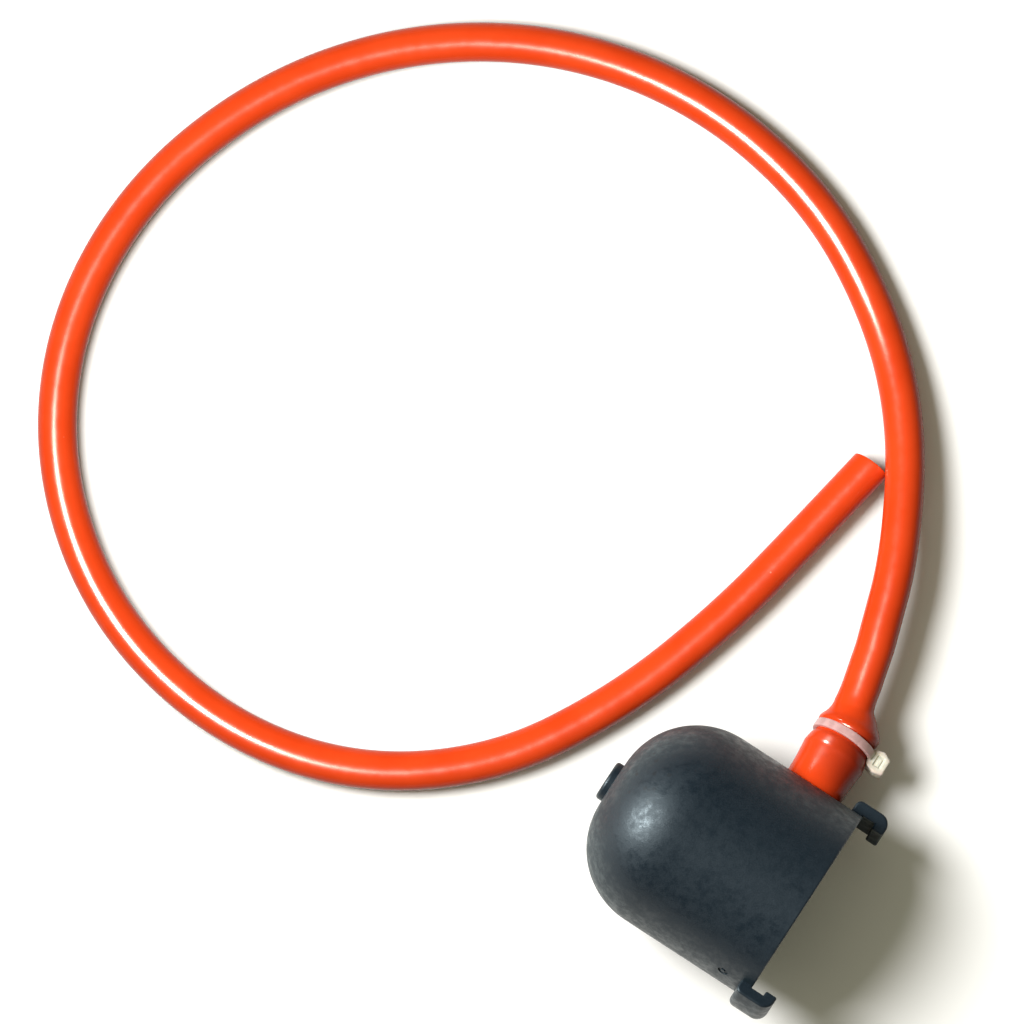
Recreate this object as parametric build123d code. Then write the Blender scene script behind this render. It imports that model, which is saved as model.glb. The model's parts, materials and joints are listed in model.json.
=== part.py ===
"""Air bell with two bayonet hooks and a side spigot, its silicone hose and the cable tie that holds it.

Millimetres, +Z up. The bell lies on its side with its mouth towards +X, rolled so that the spigot points a
little down.
"""
import os
from math import pi, radians, tan

from build123d import *

# bell: distances along its axis are counted from the rim, and the closed end is on the negative side
bell_radius = 25.0
bell_length = 52.8
bell_wall = 2.4
end_corner_radius = 19.5
rim_round = 0.4
bell_roll = 16.0  # degrees, spigot side down

# round pad in the middle of the closed end
pad_radius = 4.9
pad_height = 1.8
pad_round = 0.8

# two opposite bayonet hooks on the rim, each an arc of the same C outline
hook_outer_radius = 28.1
hook_floor_radius = 25.2
hook_tip_radius = 23.8
hook_root = 3.0
hook_gap = 3.2
hook_reach = 6.2
hook_half_angle = 13.7
hook_nose_round = 2.8
hook_root_round = 1.5
hook_edge_round = 0.5

# small ring mark beside one hook
mark_from_rim = 7.8
mark_angle = 170.0
mark_outer_radius = 1.3
mark_inner_radius = 0.55
mark_depth = 0.35

# spigot: distances are counted from the bell's axis
spigot_from_rim = 13.3
spigot_root = 23.3
spigot_radius = 6.0
spigot_bead_radius = 6.6
spigot_bead_ramp = 0.7
spigot_bead = 40.9
spigot_bead_length = 0.8
spigot_tip_radius = 5.0
spigot_tip = 45.6
spigot_bore_radius = 3.5
spigot_bore_past = (7.0, 1.0)  # how far the bore's cut reaches past the root and the tip

# square-section seal ring in a step inside the mouth
seat_radius = 23.6
seat_depth = 2.2
seal_outer_radius = 23.5
seal_inner_radius = 21.6
seal_thickness = 2.0

# hose, and the stretched end of it that sits on the spigot
hose_radius = 4.6
hose_bore_radius = 2.5
cuff_start = 24.0
cuff_gap = 0.05
cuff_outline = [
    # (radius, distance): a slight swelling, the waist under the cable tie, the shoulder, the hose
    (7.3, 29.0),
    (7.75, 33.5),
    (7.75, 35.6),
    (6.9, 37.8),
    (6.9, 40.0),
    (7.55, 41.0),
    (7.55, 41.9),
    (6.6, 43.8),
    (5.65, 45.5),
    (4.9, 47.2),
]
cuff_end = 48.6

# cable tie round the cuff
tie_at = 38.9
tie_width = 2.1
tie_inner_radius = 6.95
tie_outer_radius = 8.0
tie_edge_round = 0.25
tie_head = [
    # (distance from the spigot's axis, distance along it from the strap's middle) of the six-sided head
    (6.7, 1.7),
    (9.6, 2.6),
    (11.7, 1.4),
    (11.8, -2.7),
    (9.7, -3.2),
    (6.9, -2.2),
]
tie_head_height = 4.2
tie_head_round = 0.4
tie_slot = (1.9, 2.7)
tie_slot_at = (9.5, -0.3)
tie_slot_depth = 0.7
tie_tail = (1.0, 2.1)
tie_tail_height = 0.45

# where the lying bell's rim and axis are: the middle of the bell's box is over the origin
rim_x = (bell_length + pad_height - hook_reach) / 2
axis_y = -8.6
lying = Location((rim_x, axis_y, bell_radius), (-bell_roll, 0, 0))

# the hose's route from the wall along the spigot, down to the surface and round one open loop
hose_route = [
    (10.9, 15.4, 18.1),
    (10.9, 33.5, 12.9),
    (4.5, 52.8, 13.2),
    (-2.1, 72.0, 12.5),
    (-16.1, 97.7, 8.0),
    (-35.6, 116.6, 4.6),
    (-63.5, 131.7, 4.6),
    (-98.1, 136.6, 4.6),
    (-132.4, 129.3, 4.6),
    (-162.4, 110.5, 4.6),
    (-184.3, 82.9, 4.6),
    (-196.3, 48.3, 4.6),
    (-194.4, 12.9, 4.6),
    (-178.9, -17.5, 4.6),
    (-150.8, -39.5, 4.6),
    (-116.0, -47.5, 4.6),
    (-82.0, -40.9, 4.6),
    (-54.1, -20.3, 4.6),
    (-37.4, 8.5, 4.6),
    (-27.9, 37.5, 4.6),
    (-23.0, 62.0, 4.6),
    (-18.7, 85.9, 4.6),
]


def cup(radius, length, corner):
    """Round solid with a rounded closed end, its flat open end at x = 0."""
    side = Line((0, radius), (corner - length, radius))
    bend = JernArc(start=side @ 1, tangent=(-1, 0), radius=corner, arc_size=90)
    outline = side + bend + Polyline(bend @ 1, (-length, 0), (0, 0), (0, radius))
    return revolve(make_face(outline), Axis.X)


def turned_about_y(points):
    """Solid turned about the Y axis from (radius, distance) points."""
    return revolve(make_face(Polyline(*points, close=True)), Axis.Y)


def through_block(size, at, low, high):
    """Block of an (x, y) size at an (x, y) place between two heights."""
    return Pos(*at, (low + high) / 2) * Box(*size, high - low)


def along_x(radius, start, end):
    """Cylinder on the X axis."""
    return Pos((start + end) / 2, 0, 0) * Rot(0, 90, 0) * Cylinder(radius, end - start)


def hook():
    """Bayonet hook: a C outline turned through a short arc about the bell's axis, centred on +Y."""
    inside_wall = bell_radius - bell_wall / 2
    outline = Polyline(
        (-hook_root, inside_wall),
        (-hook_root, hook_outer_radius),
        (hook_reach, hook_outer_radius),
        (hook_reach, hook_tip_radius),
        (hook_gap, hook_tip_radius),
        (hook_gap, hook_floor_radius),
        (0, hook_floor_radius),
        (0, inside_wall),
        close=True,
    )
    face = make_face(outline)
    corners = face.vertices()
    nose = corners.filter_by(lambda v: v.X == hook_reach and v.Y == hook_outer_radius)
    root = corners.filter_by(lambda v: v.X == -hook_root and v.Y == hook_outer_radius)
    tip = corners.filter_by(lambda v: v.Y == hook_tip_radius)
    face = fillet(nose, hook_nose_round)
    face = fillet(face.vertices().sort_by_distance(root[0])[0], hook_root_round)
    for corner in tip:
        face = fillet(face.vertices().sort_by_distance(corner)[0], hook_edge_round)
    arm = Rot(-hook_half_angle, 0, 0) * revolve(face, Axis.X, 2 * hook_half_angle)
    sides = arm.faces().filter_by(GeomType.PLANE).filter_by(lambda f: abs(f.normal_at().X) < 0.01)
    return fillet(sides.edges(), hook_edge_round)


def spigot_solid(gap=0.0):
    """Outside of the barbed spigot, grown by a gap."""
    bead_end = spigot_bead + spigot_bead_length
    return Pos(-spigot_from_rim, 0, 0) * turned_about_y(
        [
            (0, spigot_root),
            (spigot_radius + gap, spigot_root),
            (spigot_radius + gap, spigot_bead - spigot_bead_ramp),
            (spigot_bead_radius + gap, spigot_bead),
            (spigot_bead_radius + gap, bead_end),
            (spigot_tip_radius + gap, spigot_tip + gap),
            (0, spigot_tip + gap),
        ]
    )


def ring_mark():
    """Shallow ring-shaped groove to cut beside one hook."""
    depth = 2 * mark_depth
    groove = Cylinder(mark_outer_radius, depth) - Cylinder(mark_inner_radius, depth)
    out = Rot(-90, 0, 0) * groove
    return Rot(mark_angle, 0, 0) * Pos(-mark_from_rim, bell_radius, 0) * out


def make_bell():
    inner_corner = end_corner_radius - bell_wall
    body = cup(bell_radius, bell_length, end_corner_radius)
    rim_edge = body.edges().sort_by(Axis.X)[-1]
    body = fillet(rim_edge, rim_round)
    body -= cup(bell_radius - bell_wall, bell_length - bell_wall, inner_corner)
    pad = along_x(pad_radius, -bell_length - pad_height, -bell_length + bell_wall / 2)
    body += fillet(pad.edges().sort_by(Axis.X)[0], pad_round)
    body += hook()
    body += Rot(180, 0, 0) * hook()
    body += spigot_solid()
    body -= along_x(seat_radius, -seat_depth, 1)
    bore_start, bore_end = spigot_root - spigot_bore_past[0], spigot_tip + spigot_bore_past[1]
    bore = Pos(-spigot_from_rim, (bore_start + bore_end) / 2, 0) * Rot(90, 0, 0)
    body -= bore * Cylinder(spigot_bore_radius, bore_end - bore_start)
    body -= ring_mark()
    return lying * body


def make_mouth_seal():
    ring = along_x(seal_outer_radius, -seat_depth, seal_thickness - seat_depth)
    ring -= along_x(seal_inner_radius, -seat_depth, seal_thickness - seat_depth)
    return lying * ring


def route_radii():
    """Bend radius at each inner point of the route: as large as its two runs allow."""
    radii = []
    points = [Vector(*p) for p in hose_route]
    for before, here, after in zip(points, points[1:], points[2:]):
        turn = radians((here - before).get_angle(after - here))
        shorter = min((here - before).length, (after - here).length)
        radii.append(0.45 * shorter / tan(turn / 2))
    return radii


def tube(path, radius):
    start = Plane(origin=path @ 0, z_dir=path % 0)
    return sweep(start * Circle(radius), path=path)


def cuff_solid(gap=0.0):
    """The hose's end on the spigot, about the Y axis, grown by a gap."""
    start = [(0, cuff_start - gap), (cuff_outline[0][0] + gap, cuff_start - gap)]
    end = [(hose_radius + gap, cuff_end + gap), (0, cuff_end + gap)]
    return turned_about_y(start + [(radius + gap, at) for radius, at in cuff_outline] + end)


def make_hose():
    radii = route_radii()
    path = FilletPolyline(*hose_route, radius=radii)
    outside = tube(path, hose_radius)
    print("hose bend radii:", [round(r, 1) for r in radii])
    print(f"hose length {path.length:.1f}, volume {outside.volume:.0f}")
    print(f"hose section times length {pi * hose_radius**2 * path.length:.0f}")
    hose = lying * Pos(-spigot_from_rim, 0, 0) * cuff_solid() + outside
    hose -= lying * along_x(bell_radius + cuff_gap, -bell_length, 0)
    hose -= lying * spigot_solid(cuff_gap)
    hose -= tube(path, hose_bore_radius)
    return hose


def make_cable_tie():
    half = tie_width / 2
    strap = turned_about_y(
        [
            (tie_inner_radius, -half),
            (tie_outer_radius, -half),
            (tie_outer_radius, half),
            (tie_inner_radius, half),
        ]
    )
    outer_edges = strap.edges().filter_by(GeomType.CIRCLE).sort_by(SortBy.RADIUS)[-2:]
    strap = fillet(outer_edges, tie_edge_round)
    top = tie_head_height / 2
    outline = make_face(Polyline(*tie_head, close=True))
    head = Pos(0, 0, -top) * extrude(outline, tie_head_height)
    head = fillet(head.edges(), tie_head_round)
    slot_floor = top - tie_slot_depth
    head -= through_block(tie_slot, tie_slot_at, slot_floor, top + tie_slot_depth)
    head += through_block(tie_tail, tie_slot_at, slot_floor - tie_slot_depth, slot_floor + tie_tail_height)
    head -= Pos(0, -tie_at, 0) * cuff_solid(cuff_gap)
    return lying * Pos(-spigot_from_rim, tie_at, 0) * (strap + head)


nodes = {
    "bell": make_bell(),
    "mouth_seal": make_mouth_seal(),
    "hose": make_hose(),
    "cable_tie": make_cable_tie(),
}

os.makedirs("parts", exist_ok=True)
for name, solid in nodes.items():
    export_step(solid, f"parts/{name}.step")
box = nodes["bell"].bounding_box()
print("bell box", box.min, box.max)
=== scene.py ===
"""Looks, light and camera for the air bell with its hose and cable tie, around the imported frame.

Metres, row frame: +Z up, the bell lies on the floor with its mouth towards +X and its spigot towards +Y.
The hose's route, all outlines and the sizes of the cable tie are in millimetres.
"""
import json
from math import cos, pi, radians, sin, sqrt, tan

import bmesh
import bpy
from mathutils import Matrix, Vector


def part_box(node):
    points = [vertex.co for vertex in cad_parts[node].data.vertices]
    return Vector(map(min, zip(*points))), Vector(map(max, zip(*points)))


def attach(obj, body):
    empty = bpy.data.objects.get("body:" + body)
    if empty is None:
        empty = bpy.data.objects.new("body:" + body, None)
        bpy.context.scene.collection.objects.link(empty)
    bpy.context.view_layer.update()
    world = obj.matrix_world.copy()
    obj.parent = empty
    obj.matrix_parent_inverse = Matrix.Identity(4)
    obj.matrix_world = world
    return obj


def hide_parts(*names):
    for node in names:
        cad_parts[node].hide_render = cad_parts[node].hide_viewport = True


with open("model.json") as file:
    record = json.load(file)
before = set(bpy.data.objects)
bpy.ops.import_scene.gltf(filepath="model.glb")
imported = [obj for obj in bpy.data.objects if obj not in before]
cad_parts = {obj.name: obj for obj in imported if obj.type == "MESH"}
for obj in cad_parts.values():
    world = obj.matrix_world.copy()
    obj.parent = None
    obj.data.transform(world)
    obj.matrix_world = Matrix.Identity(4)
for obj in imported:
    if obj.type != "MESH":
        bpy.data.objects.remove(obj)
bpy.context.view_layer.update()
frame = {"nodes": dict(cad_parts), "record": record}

MM = 0.001

# the lying bell: its radius and its rim's middle come from the frame, the rest is as in the CAD
bell_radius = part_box("bell")[1].z / 2
rim_x, axis_y, _ = frame["record"]["mounts"][0]["pos_m"]
bell_roll = radians(16)
bell_length = 52.8 * MM
spigot_from_rim = 13.3 * MM
lying = Matrix.Translation((rim_x, axis_y, bell_radius)) @ Matrix.Rotation(-bell_roll, 4, "X")
spigot = lying @ Matrix.Translation((-spigot_from_rim, 0, 0))

# the picture: what it is centred on, how wide it is, how far off the camera is, and how it is turned
view_centre = Vector((-82.8, 31.4, 8.0)) * MM
view_width = 238 * MM
view_distance = 5.0
view_turn = radians(33)
picture_right = Vector((cos(view_turn), sin(view_turn), 0))
picture_up = Vector((-sin(view_turn), cos(view_turn), 0))

# hose: its size, and its route in millimetres from the bell's wall to its free end
hose_route = [
    (10.9, 15.4, 18.1),
    (10.9, 24.5, 15.5),
    (10.9, 33.5, 12.9),
    (4.5, 52.8, 13.2),
    (-1.7, 72.2, 12.5),
    (-16.1, 97.7, 8.0),
    (-35.6, 116.6, 4.6),
    (-63.5, 131.7, 4.6),
    (-98.1, 136.6, 4.6),
    (-132.4, 129.3, 4.6),
    (-162.4, 110.5, 4.6),
    (-184.3, 82.9, 4.6),
    (-196.3, 48.3, 4.6),
    (-194.4, 12.9, 4.6),
    (-178.9, -17.5, 4.6),
    (-150.8, -39.5, 4.6),
    (-116.0, -47.5, 4.6),
    (-82.0, -40.9, 4.6),
    (-54.1, -20.3, 4.6),
    (-37.4, 8.5, 4.6),
    (-27.9, 37.5, 4.6),
    (-23.0, 62.0, 4.6),
    (-18.7, 85.9, 4.6),
]

# places


def on_spigot(across, far, high=0):
    """A place by how far it is to the side of the spigot's axis, along it and above it, in millimetres."""
    return spigot @ (Vector((across, far, high)) * MM)


def from_picture(right, up, high):
    """A place by how far right and up of the picture's middle and how high over the floor, in metres."""
    place = view_centre + picture_right * right + picture_up * up
    place.z = high
    return place


def picture_side(degrees):
    """A level direction by its angle in the picture, from its right side towards its top."""
    a = radians(degrees)
    return picture_right * cos(a) + picture_up * sin(a)


# meshes and smooth lines


def add_object(name, data):
    thing = bpy.data.objects.new(name, data)
    bpy.context.scene.collection.objects.link(thing)
    return thing


def add_mesh(name, points, faces):
    mesh = bpy.data.meshes.new(name)
    mesh.from_pydata(points, [], faces)
    mesh.validate()
    mesh.shade_smooth()
    return add_object(name, mesh)


def smooth_step(low, high, x):
    t = min(max((x - low) / (high - low), 0), 1)
    return t * t * (3 - 2 * t)


def slope_between(before, after):
    return 0 if before * after <= 0 else 2 * before * after / (before + after)


def along(profile, x):
    """Value at x on a smooth line through (x, value) pairs, which never swings past them."""
    x = min(max(x, profile[0][0]), profile[-1][0])
    runs = [(b[1] - a[1]) / (b[0] - a[0]) for a, b in zip(profile, profile[1:])]
    slopes = [runs[0], *(slope_between(a, b) for a, b in zip(runs, runs[1:])), runs[-1]]
    k = next(k for k in range(len(runs)) if x <= profile[k + 1][0])
    (x0, v0), (x1, v1) = profile[k], profile[k + 1]
    size = x1 - x0
    t = (x - x0) / size
    start = v0 + t * t * (3 - 2 * t) * (v1 - v0)
    return start + size * t * (1 - t) * ((1 - t) * slopes[k] - t * slopes[k + 1])


# camera


def add_camera():
    """Overhead, in the plane of the bell's rim, which is seen exactly from its edge."""
    data = bpy.data.cameras.new("camera")
    data.lens = data.sensor_width / view_width * view_distance
    camera = add_object("camera", data)
    seat = Vector((rim_x, view_centre.y, view_centre.z + view_distance))
    back = (seat - view_centre).normalized()
    right = picture_up.cross(back).normalized()
    turn = Matrix((right, back.cross(right), back)).transposed()
    camera.matrix_world = Matrix.Translation(seat) @ turn.to_4x4()
    bpy.context.scene.camera = camera


# hose


def spline_points(route, steps=48):
    """Points along the smooth line of a route given in millimetres."""
    curve = bpy.data.curves.new("route", "CURVE")
    curve.dimensions = "3D"
    curve.resolution_u = steps
    spline = curve.splines.new("NURBS")
    spline.points.add(len(route) - 1)
    for point, place in zip(spline.points, route):
        point.co = (*(Vector(place) * MM), 1)
    spline.order_u = 3
    spline.use_endpoint_u = True
    guide = add_object("route", curve)
    mesh = bpy.data.meshes.new_from_object(guide)
    points = [v.co.copy() for v in mesh.vertices]
    bpy.data.objects.remove(guide)
    return points


class Line:
    """A smooth line by its points, read by distance along it."""

    def __init__(self, points):
        self.points = points
        self.marks = [0.0]
        for a, b in zip(points, points[1:]):
            self.marks.append(self.marks[-1] + (b - a).length)
        self.length = self.marks[-1]

    def at(self, s):
        low, high = 0, len(self.marks) - 1
        while high - low > 1:
            middle = (low + high) // 2
            low, high = (middle, high) if self.marks[middle] <= s else (low, middle)
        share = (s - self.marks[low]) / (self.marks[high] - self.marks[low])
        return self.points[low].lerp(self.points[high], share)

    def direction(self, s, reach=0.8 * MM):
        return (self.at(min(s + reach, self.length)) - self.at(max(s - reach, 0))).normalized()


# (distance from the bell's axis along the spigot, outer radius) of the stretched end of the hose
cuff_outline = [
    (24.0, 7.3),
    (29.0, 7.4),
    (33.0, 7.71),
    (34.2, 7.85),
    (35.1, 7.73),
    (36.5, 7.46),
    (37.9, 6.9),
    (39.9, 6.9),
    (40.9, 7.55),
    (41.8, 7.65),
    (43.0, 7.2),
    (44.2, 6.4),
    (45.5, 5.65),
    (47.2, 4.85),
    (49.6, 4.63),
    (60.0, 4.6),
]
# the same for the bore, which follows the spigot
cuff_bore = [
    (24.0, 6.05),
    (40.2, 6.05),
    (40.9, 6.65),
    (41.7, 6.65),
    (45.6, 5.05),
    (48.0, 3.4),
    (52.0, 2.5),
]
# the same for how far the hose's middle lies to the side of its route, where it turns off the spigot
cuff_shift = [
    (24.0, 0.0),
    (41.5, -0.2),
    (43.5, -0.35),
    (45.5, -0.6),
    (47.6, -1.1),
    (52.0, -0.75),
    (62.0, 0.0),
]
# up to where along the spigot the hose follows the bell's wall fully, and from where it no longer does
cuff_root = (25, 30)
gap_to_wall = 0.05 * MM

# the free end's cut: how oblique it is, how far that reaches along the hose, and its rounded edge
cut_across = tan(radians(6))
cut_down = tan(radians(13))
cut_reach = 4 * MM
cut_round = 0.12 * MM
rings_at_cut = (0.6 * MM, cut_round, 0.4 * cut_round, 0)

# rings of the hose's skin: close together on the cuff, further apart on the rest
cuff_stretch = 34 * MM
cuff_step = 0.35 * MM
hose_step = 1.25 * MM


def hose_rings(line):
    """Distance along the line of each ring of the hose's skin."""
    marks, s = [], 0.0
    while s < line.length - hose_step:
        marks.append(s)
        s += cuff_step if s < cuff_stretch else hose_step
    return marks + [line.length - gap for gap in rings_at_cut]


def edge_curve(to_end):
    """How much of the cut's rounded edge is taken off: none before it, all of it at the very end."""
    left = min(to_end / cut_round, 1)
    return 1 - sqrt(max(1 - (1 - left) ** 2, 0))


def hose_skin(line, marks, outline, rounding, sides=64):
    """Rings of points at an outline's radius, each lying square to the line, and the rings' middles."""
    start = (spigot.inverted() @ line.at(0)).y / MM
    rings, middles = [], []
    for s in marks:
        far, to_end = start + s / MM, line.length - s
        radius = along(outline, far) * MM + rounding * edge_curve(to_end)
        ahead = line.direction(s)
        side = ahead.cross(Vector((0, 0, 1))).normalized()
        up = side.cross(ahead)
        middle = line.at(s) + Vector((1, 0, 0)) * along(cuff_shift, far) * MM
        middles.append(middle)
        ring = []
        for k in range(sides):
            a = 2 * pi * k / sides
            across, high = cos(a) * radius, sin(a) * radius
            point = middle + side * across + up * high + ahead * end_slant(to_end, across, high)
            ring.append(settle_on_bell(point, far))
        rings.append(ring)
    return rings, middles


def end_slant(to_end, across, high):
    """How far a point near the free end moves along the hose, so that its cut lies a little oblique."""
    return (across * cut_across + high * cut_down) * (1 - smooth_step(0, cut_reach, to_end))


def settle_on_bell(point, far):
    """The hose's first few millimetres follow the bell's round wall."""
    local = spigot.inverted() @ point
    wall = sqrt(max((bell_radius + gap_to_wall) ** 2 - local.z**2, 0))
    local.y -= (bell_radius - wall) * (1 - smooth_step(*cuff_root, far))
    return spigot @ local


def close_tube(outer, inner):
    """One closed skin: the outer rings, then the inner ones backwards."""
    rings = outer + inner[::-1]
    sides = len(outer[0])
    points = [p for ring in rings for p in ring]
    faces = []
    for i in range(len(rings)):
        a, b = i * sides, (i + 1) % len(rings) * sides
        for k in range(sides):
            n = (k + 1) % sides
            faces.append((a + k, a + n, b + n, b + k))
    return points, faces


def make_hose():
    line = Line(spline_points(hose_route))
    marks = hose_rings(line)
    outer, middles = hose_skin(line, marks, cuff_outline, -cut_round)
    inner, _ = hose_skin(line, marks, cuff_bore, cut_round)
    points, faces = close_tube(outer, inner)
    hose = add_mesh("silicone_hose", points, faces)
    print("hose", round(line.length / MM, 1), "mm,", len(faces), "faces")
    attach(hose, "root")
    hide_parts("hose")
    return hose


# cable tie

tie_at = 38.9  # where its strap's middle is, from the bell's axis along the spigot, millimetres
strap_width = 2.1
strap_inside = 6.95
strap_outside = 8.0
section_points = 32
squareness = 0.35  # how flat the strap's section is: 1 makes it an ellipse, and near 0 a rectangle
gap_to_hose = 0.05

# the head, seen from the top: distance from the spigot's axis, and along it from the strap's middle
head_outline = [(6.7, 1.7), (9.6, 2.6), (11.7, 1.4), (11.8, -2.7), (9.7, -3.2), (6.9, -2.2)]
head_top = 2.1
head_round = 0.45
slot_middle = (9.5, -0.3)
slot_size = (1.9, 2.7)
slot_depth = 0.5
slot_round = 0.2
tail_size = (1.0, 2.1)
tail_foot = 0.02  # how much wider the trimmed tail is at the slot's floor
tail_below_top = 0.2
tail_round = 0.1


def rectangle(size):
    """The sides of a rectangle in the form of polygon_sides."""
    x, y = size[0] / 2, size[1] / 2
    return [(1, 0, x), (-1, 0, x), (0, 1, y), (0, -1, y)]


def polygon_sides(corners, middle):
    """The sides of a clockwise polygon as (outward normal, distance from its middle)."""
    sides = []
    for (x0, y0), (x1, y1) in zip(corners, corners[1:] + corners[:1]):
        size = sqrt((x1 - x0) ** 2 + (y1 - y0) ** 2)
        x, y = (y0 - y1) / size, (x1 - x0) / size
        sides.append((x, y, x * (x0 - middle[0]) + y * (y0 - middle[1])))
    return sides


def outline_ring(sides, inset, z, corner=22, count=72, least=0.01):
    """Points on an outline round the slot's middle, drawn in by an inset. A high corner is a sharp one."""
    ring = []
    for k in range(count):
        x, y = cos(2 * pi * k / count), sin(2 * pi * k / count)
        facing = [(x * a + y * b) / max(d - inset, least) for a, b, d in sides]
        reach = sum(f**corner for f in facing if f > 0) ** (-1 / corner)
        ring.append(Vector((slot_middle[0] + reach * x, slot_middle[1] + reach * y, z)))
    return ring


def stack(rings):
    """A closed skin over rings, capped at both ends."""
    count = len(rings[0])
    points = [p for ring in rings for p in ring]
    points += [sum(ring, Vector()) / count for ring in (rings[0], rings[-1])]
    faces = []
    for i in range(len(rings) - 1):
        a, b = i * count, (i + 1) * count
        faces += [(a + k, a + (k + 1) % count, b + (k + 1) % count, b + k) for k in range(count)]
    last = (len(rings) - 1) * count
    for k in range(count):
        n = (k + 1) % count
        faces.append((n, k, len(points) - 2))
        faces.append((last + k, last + n, len(points) - 1))
    return points, faces


def rounded_edge(sides, z, radius, upwards=True, outer=True, steps=5):
    """Rings from a wall over its rounded edge to a flat at a height."""
    rings = []
    for k in range(steps):
        a = pi / 2 * (k / (steps - 1))
        inset, drop = radius * (1 - cos(a)), radius * (1 - sin(a))
        rings.append(outline_ring(sides, inset if outer else -inset, z - drop if upwards else z + drop))
    return rings


def tie_head():
    """The head's skin: its underside, wall and top, the slot, and the trimmed tail in the slot."""
    wall = polygon_sides(head_outline, slot_middle)
    slot, tail = rectangle(slot_size), rectangle(tail_size)
    slot_floor = head_top - slot_depth
    rings = rounded_edge(wall, -head_top, head_round, upwards=False)[::-1]
    rings += rounded_edge(wall, head_top, head_round)
    rings += rounded_edge(slot, head_top, slot_round, outer=False)[::-1]
    rings.append(outline_ring(slot, 0, slot_floor))
    rings.append(outline_ring(tail, -tail_foot, slot_floor))
    rings += rounded_edge(tail, head_top - tail_below_top, tail_round)
    return stack(rings)


def squared(x):
    """A circle's coordinate, pushed out towards a square's."""
    return abs(x) ** squareness * (1 if x > 0 else -1)


def tie_strap(count=144):
    """The strap's ring: a flat section with rounded edges, turned about the spigot."""
    middle, thick = (strap_inside + strap_outside) / 2, strap_outside - strap_inside
    section = []
    for k in range(section_points):
        a = 2 * pi * k / section_points
        section.append((middle + thick / 2 * squared(cos(a)), strap_width / 2 * squared(sin(a))))
    points, faces = [], []
    for i in range(count):
        a = 2 * pi * i / count
        points += [Vector((r * cos(a), y, r * sin(a))) for r, y in section]
        here, there = i * section_points, (i + 1) % count * section_points
        for k in range(section_points):
            n = (k + 1) % section_points
            faces.append((here + k, there + k, there + n, here + n))
    return points, faces


def make_tie():
    """Strap and head, the head's walls following the hose under it."""
    points, faces = tie_strap()
    head_points, head_faces = tie_head()
    for p in head_points:
        far = sqrt(p.x**2 + p.z**2)
        inside = along(cuff_outline, tie_at + p.y) + gap_to_hose
        if far < inside:
            p.x, p.z = p.x * inside / far, p.z * inside / far
    faces += [tuple(i + len(points) for i in face) for face in head_faces]
    points += head_points
    place = spigot @ Matrix.Translation((0, tie_at * MM, 0))
    tie = add_mesh("nylon_tie", [place @ (p * MM) for p in points], faces)
    settle_normals(tie)
    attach(tie, "root")
    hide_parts("cable_tie")
    return tie


def settle_normals(thing):
    """Turn all faces of a mesh to look outwards."""
    skin = bmesh.new()
    skin.from_mesh(thing.data)
    bmesh.ops.recalc_face_normals(skin, faces=skin.faces)
    skin.to_mesh(thing.data)
    skin.free()


# materials


class Graph:
    """A material's nodes, made one call at a time."""

    def __init__(self, name, **inputs):
        self.material = bpy.data.materials.new(name)
        self.material.use_nodes = True
        self.tree = self.material.node_tree
        self.shader = self.tree.nodes["Principled BSDF"]
        self.place = self.add("TexCoord").outputs["Object"]
        self.set(self.shader, **inputs)

    def add(self, kind, values=None, **settings):
        node = self.tree.nodes.new("ShaderNode" + kind)
        for key, value in settings.items():
            setattr(node, key, value)
        self.set(node, **(values or {}))
        return node

    def feed(self, socket, value):
        """Link an input to another node's output, or give it a constant."""
        if isinstance(value, bpy.types.NodeSocket):
            self.tree.links.new(value, socket)
        elif socket.type == "RGBA" and len(value) == 3:
            socket.default_value = (*value, 1)
        else:
            socket.default_value = value

    def set(self, node, **inputs):
        for key, value in inputs.items():
            self.feed(node.inputs[key.replace("_", " ")], value)

    def noise(self, scale, detail=3.0, roughness=0.5):
        values = {"Vector": self.place, "Scale": scale, "Detail": detail, "Roughness": roughness}
        return self.add("TexNoise", values).outputs["Fac"]

    def remap(self, value, low, high, to_low=0.0, to_high=1.0, smooth=True):
        values = {"Value": value, "From_Min": low, "From_Max": high, "To_Min": to_low, "To_Max": to_high}
        kind = "SMOOTHSTEP" if smooth else "LINEAR"
        return self.add("MapRange", values, interpolation_type=kind).outputs[0]

    def times(self, a, b):
        node = self.add("Math", operation="MULTIPLY")
        self.feed(node.inputs[0], a)
        self.feed(node.inputs[1], b)
        return node.outputs[0]

    def mix(self, share, a, b):
        """Colour a where the share is 0, colour b where it is 1."""
        node = self.add("Mix", data_type="RGBA")
        share_input, a_input, b_input = node.inputs[0], node.inputs[6], node.inputs[7]
        self.feed(share_input, share)
        self.feed(a_input, a)
        self.feed(b_input, b)
        return node.outputs[2]

    def bump(self, height, distance, strength=1.0, normal=None):
        values = {"Height": height, "Distance": distance, "Strength": strength}
        if normal:
            values["Normal"] = normal
        return self.add("Bump", values).outputs[0]

    def near(self, middle, inside, outside):
        """1 up to one distance from a place, 0 beyond another, both in millimetres."""
        gap = self.add("VectorMath", operation="DISTANCE")
        self.feed(gap.inputs[0], self.place)
        self.feed(gap.inputs[1], middle)
        return self.remap(gap.outputs["Value"], outside * MM, inside * MM)

    def dots(self, scale, size, seed, firm=0.6):
        """1 in small round spots, whose edges fade out from a firm share of their size."""
        shift = (seed, seed * 0.7, seed * 0.3)
        place = self.add("Mapping", {"Vector": self.place, "Location": shift}).outputs[0]
        distance = self.add("TexVoronoi", {"Vector": place, "Scale": scale}).outputs["Distance"]
        return self.remap(distance, size, size * firm)


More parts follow.
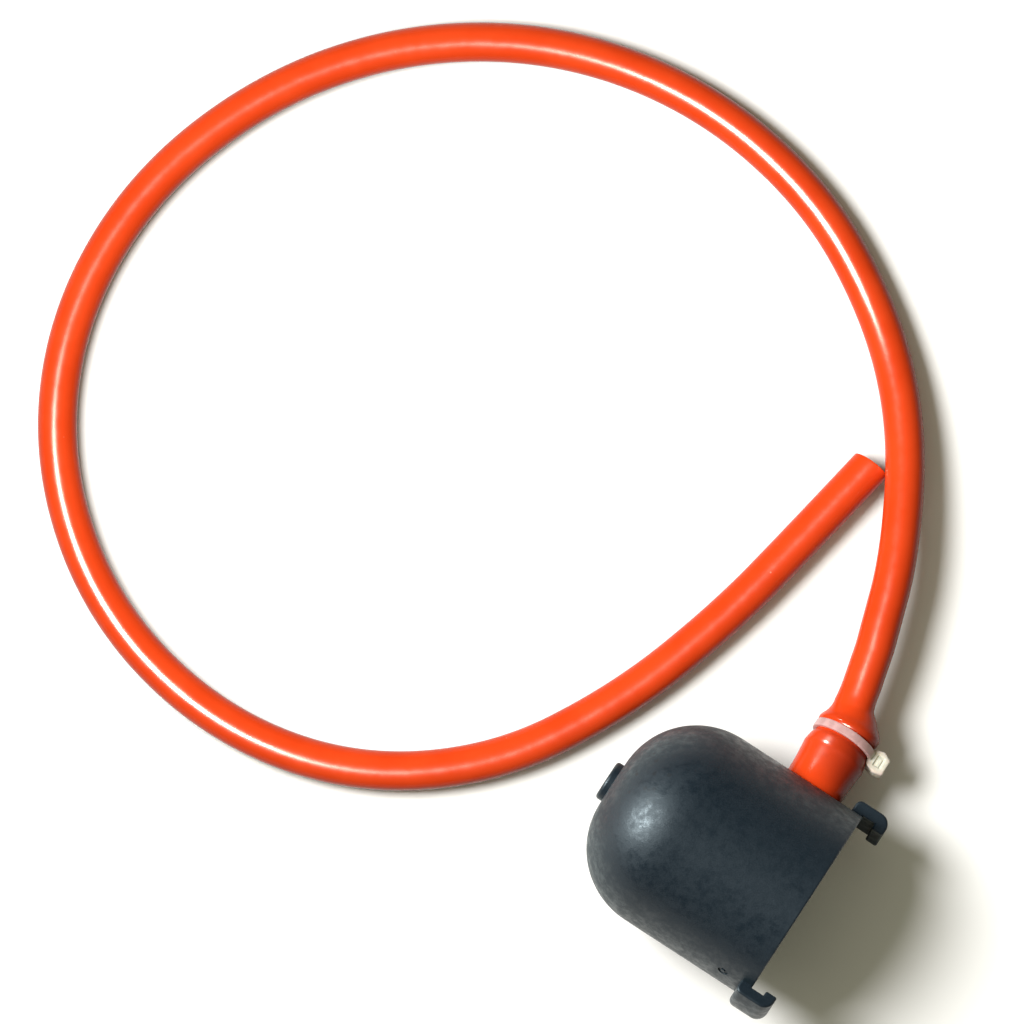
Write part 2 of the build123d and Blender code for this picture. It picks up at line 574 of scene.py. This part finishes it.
def silicone(shade):
    """Orange silicone with a little dust on it, darker round a place on its stretched end: partly the
    black spigot under it, partly painted shade.
    """
    deep, light = (0.70, 0.051, 0.007), (0.76, 0.061, 0.010)
    stretched, dusty = (0.34, 0.024, 0.006), (0.8, 0.55, 0.4)
    g = Graph("hose_orange", IOR=1.2)
    colour = g.mix(g.remap(g.noise(90, 3), 0.3, 0.7), deep, light)
    # painted shade: darker round a place on the cuff's shaded side, which also stands for the black spigot
    # under the silicone
    colour = g.mix(g.near(shade, 6, 15), colour, stretched)
    dust = g.times(g.dots(260, 0.06, 3.1), g.remap(g.noise(40, 2), 0.56, 0.66))
    colour = g.mix(g.times(dust, 0.5), colour, dusty)
    rough = g.remap(g.noise(350, 4, 0.6), 0.25, 0.75, 0.19, 0.27, smooth=False)
    waves = g.bump(g.noise(90, 2), 0.15 * MM, 0.2)
    normal = g.bump(g.noise(2600, 2), 0.02 * MM, 0.25, waves)
    g.set(g.shader, Base_Color=colour, Roughness=rough, Normal=normal)
    return g.material


def bell_plastic(end, marked):
    """Matte blue-black plastic with a fine whitish bloom; its lighter sides, most round its closed end,
    are bloom and a painted reflection.

    A few dark spots lie round a marked place.
    """
    dark, less_dark, spot = (0.004, 0.0092, 0.0155), (0.0068, 0.0138, 0.0215), (0.002, 0.004, 0.007)
    thin_bloom, side_bloom_and_reflection = (0.075, 0.1, 0.11), (0.05, 0.09, 0.1)
    g = Graph("bell_black", IOR=1.42)
    blotch = g.remap(g.noise(420, 6, 0.72), 0.38, 0.68)
    cloud = g.remap(g.noise(60, 3, 0.55), 0.36, 0.66)
    grain = g.noise(2600, 3, 0.6)
    facing_up = g.add("SeparateXYZ", {"Vector": g.add("NewGeometry").outputs["Normal"]}).outputs["Z"]
    # lighter on the sides and most round the closed end: bloom, and a painted reflection of the bright
    # floor at the grazing edges
    side = g.times(g.remap(facing_up, 0.75, 0.0), g.remap(g.near(end, 16, 42), 0, 1, 0.5, 1))
    colour = g.mix(g.remap(grain, 0.3, 0.7), dark, less_dark)
    colour = g.mix(g.times(g.times(blotch, cloud), 0.045), colour, thin_bloom)
    colour = g.mix(g.times(side, g.remap(blotch, 0, 1, 0.35, 0.85)), colour, side_bloom_and_reflection)
    spots = g.times(g.dots(430, 0.3, 7.7), g.near(marked, 4, 12))
    colour = g.mix(g.times(spots, 0.75), colour, spot)
    rough = g.remap(blotch, 0, 1, 0.56, 0.36, smooth=False)
    mottling = g.bump(g.noise(420, 5, 0.68), 0.11 * MM, 0.5)
    normal = g.bump(grain, 0.03 * MM, 0.5, mottling)
    g.set(g.shader, Base_Color=colour, Roughness=rough, Normal=normal)
    return g.material


def seal_rubber():
    """Matte black rubber."""
    g = Graph("seal_black")
    colour = g.mix(g.remap(g.noise(700, 4), 0.35, 0.65), (0.012, 0.012, 0.013), (0.02, 0.02, 0.021))
    rough = g.remap(g.noise(900, 3), 0.3, 0.7, 0.5, 0.65, smooth=False)
    normal = g.bump(g.noise(1500, 3), 0.04 * MM, 0.5)
    g.set(g.shader, Base_Color=colour, Roughness=rough, Normal=normal)
    return g.material


def nylon(head):
    """Natural nylon: the strap's pink, the hose's colour showing through it, is painted into its colour;
    the head is ivory.
    """
    g = Graph("tie_natural", IOR=1.4)
    g.set(g.shader, Subsurface_Weight=0.5, Subsurface_Scale=1.2 * MM, Subsurface_Radius=(1, 0.8, 0.6))
    tone = g.remap(g.noise(500, 3), 0.35, 0.65)
    # painted transmitted light: the hose's orange seen through the strap, put into the strap's colour
    strap_with_painted_hose_colour = g.mix(tone, (0.51, 0.31, 0.30), (0.60, 0.38, 0.37))
    thick = g.mix(tone, (0.62, 0.60, 0.50), (0.70, 0.68, 0.58))
    rough = g.remap(g.noise(1100, 3), 0.3, 0.7, 0.24, 0.36, smooth=False)
    normal = g.bump(g.noise(800, 2), 0.03 * MM, 0.2)
    g.set(g.shader, Base_Color=g.mix(g.near(head, 2.2, 5), strap_with_painted_hose_colour, thick), Roughness=rough, Normal=normal)
    return g.material


def floor_white():
    """Plain off-white floor."""
    g = Graph("floor_white", Roughness=0.7)
    tone = g.remap(g.noise(6, 2), 0.35, 0.65)
    g.set(g.shader, Base_Color=g.mix(tone, (0.89, 0.885, 0.865), (0.91, 0.9, 0.88)))
    return g.material


def paint(thing, material):
    thing.data.materials.clear()
    thing.data.materials.append(material)


# light and floor

# colours of the lamps
room_light = (1.0, 0.97, 0.72)
warm_shine = (1, 0.95, 0.8)
glint_light = (1, 0.95, 0.85)
cool_shine = (0.85, 1, 1.05)

floor_size = 60.0


def add_lamp(name, place, radius, strength, colour=(1, 1, 1), kind="POINT"):
    """A soft lamp that the camera doesn't see, as strong far from it as close to it."""
    data = bpy.data.lights.new(name, kind)
    data.color = colour
    data.shadow_soft_size = radius
    data.energy = 1
    data.use_nodes = True
    nodes, links = data.node_tree.nodes, data.node_tree.links
    falloff = nodes.new("ShaderNodeLightFalloff")
    falloff.inputs["Strength"].default_value = strength
    links.new(falloff.outputs["Constant"], nodes["Emission"].inputs["Strength"])
    lamp = add_object(name, data)
    lamp.location = place
    lamp.visible_camera = False
    return lamp


def only_on(lamp, things):
    """Let a lamp light some things and nothing else."""
    lit = bpy.data.collections.new(lamp.name)
    for thing in things:
        lit.objects.link(thing)
    lamp.light_linking.receiver_collection = lit


def add_shine(name, things, place, **settings):
    """A lamp that only makes highlights, and only on some things."""
    lamp = add_lamp(name, place, **settings)
    lamp.visible_diffuse = False
    only_on(lamp, things)
    return lamp


def add_glint(hose):
    """A narrow beam that makes a small bright patch on the swelling of the hose's stretched end."""
    target = on_spigot(-3.2, 34.5, 7.2)
    distance = 0.6
    towards = picture_side(60) * 0.542 + picture_side(150) * 0.683 + Vector((0, 0, 0.49))
    place = target + towards * distance
    settings = {"radius": 0.003, "strength": 450.0, "colour": glint_light, "kind": "SPOT"}
    glint = add_shine("cuff_glint", [hose], place, **settings)
    glint.data.spot_size = radians(1.1)
    glint.data.spot_blend = 1.0
    glint.rotation_euler = towards.to_track_quat("Z", "Y").to_euler()


def add_floor():
    """A large plain floor, which takes light but throws none back on the object."""
    low, high = -floor_size / 2, floor_size / 2
    corners = [(low, low, 0), (high, low, 0), (high, high, 0), (low, high, 0)]
    floor = add_mesh("floor", corners, [(0, 1, 2, 3)])
    floor.visible_diffuse = False
    paint(floor, floor_white())
    return floor


def add_world():
    world = bpy.data.worlds.new("studio")
    world.use_nodes = True
    background = world.node_tree.nodes["Background"]
    background.inputs["Color"].default_value = (*room_light, 1)
    background.inputs["Strength"].default_value = 0.12
    bpy.context.scene.world = world


def add_light(hose, tie, bell, seal, floor):
    """Soft room light, a key and a fill without highlights, and lamps that only make the highlights."""
    add_world()
    key = add_lamp("key", from_picture(-0.225, 0.075, 0.5), radius=0.14, strength=62.0)
    key.visible_glossy = False
    fill = add_lamp("fill", from_picture(0, 0, 2.2), radius=1.6, strength=7.0, colour=room_light)
    fill.visible_glossy = False
    only_on(fill, [floor, tie, bell, seal])
    far_left = from_picture(-1.473, -0.921, 4.0)
    add_shine("hose_shine", [hose], far_left, radius=0.85, strength=850.0, colour=warm_shine)
    add_glint(hose)
    near_left = from_picture(-0.53, 0.13, 0.45)
    add_shine("bell_shine", [bell], near_left, radius=0.15, strength=115.0, colour=cool_shine)
    lower_left = from_picture(-0.146, -0.227, 1.5)
    add_shine("side_shine", [bell], lower_left, radius=0.2, strength=1.8, colour=cool_shine)


add_camera()
tie = make_tie()
hose = make_hose()
bell, seal = frame["nodes"]["bell"], frame["nodes"]["mouth_seal"]
# middle of the painted shade on the hose's stretched end
shaded_side = on_spigot(6, 35)
closed_end = lying @ Vector((-bell_length, 0, 0))
marked_place = from_picture(0.032, -0.062, 0.043)
head_middle = on_spigot(slot_middle[0], tie_at + slot_middle[1])
paint(hose, silicone(shaded_side))
paint(bell, bell_plastic(closed_end, marked_place))
paint(seal, seal_rubber())
paint(tie, nylon(head_middle))
add_light(hose, tie, bell, seal, add_floor())
bpy.context.scene.view_settings.view_transform = "Standard"
